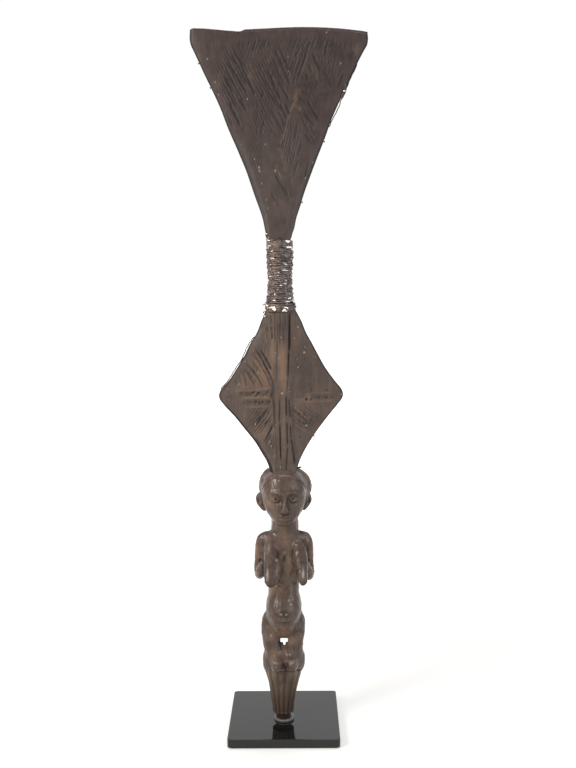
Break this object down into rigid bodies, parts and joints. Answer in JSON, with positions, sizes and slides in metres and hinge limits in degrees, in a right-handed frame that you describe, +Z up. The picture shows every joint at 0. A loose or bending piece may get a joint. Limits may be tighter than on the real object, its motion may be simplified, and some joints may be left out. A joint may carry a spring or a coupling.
{
  "type": "ceremonial staff",
  "caption": "Carved wooden ceremonial staff with fan and lozenge blades, wire-wound grip and standing figure, pinned on a square display stand.",
  "frame": {"origin": "centre of the stand's underside, on the surface that the stand rests on", "axes": "+Z up along the staff, -Y to the front that the figure faces, +X to the viewer's right"},
  "size_m": [0.194, 0.127, 0.795],
  "materials": {
    "felt": "matte felt",
    "lacquered_plate": "gloss lacquer",
    "stand_steel": "brushed",
    "washer_steel": "dulled",
    "staff_wood": "dark hand-worn patina",
    "grip_wire": "tarnished wire",
    "lashing_wire": "worn bright wire",
    "edge_wire": "dull wire",
    "tack_iron": "rusted black"
  },
  "bodies": {
    "stand": {"felt_underlay": "felt", "base_plate": "lacquered_plate", "mount_pin": "stand_steel", "pin_screw": "stand_steel"},
    "washer": {"seat_washer": "washer_steel"},
    "staff": {"carved_staff": "staff_wood", "grip_winding": "grip_wire", "lower_lashing": "lashing_wire", "upper_lashing": "lashing_wire", "fan_edge_wire": "edge_wire", "lozenge_edge_wire": "edge_wire", "edge_tack_1": "tack_iron", "edge_tack_2": "tack_iron", "edge_tack_3": "tack_iron", "edge_tack_4": "tack_iron", "edge_tack_5": "tack_iron"}
  },
  "joints": [
    {"name": "staff_turn", "type": "hinge", "parent": "stand", "child": "washer", "pos_m": [0, -0.012, 0.014], "axis": [0, 0, 1], "continuous": true},
    {"name": "staff_lift", "type": "slide", "parent": "washer", "child": "staff", "axis": [0, 0, 1], "range_m": [0, 0.06]}
  ]
}
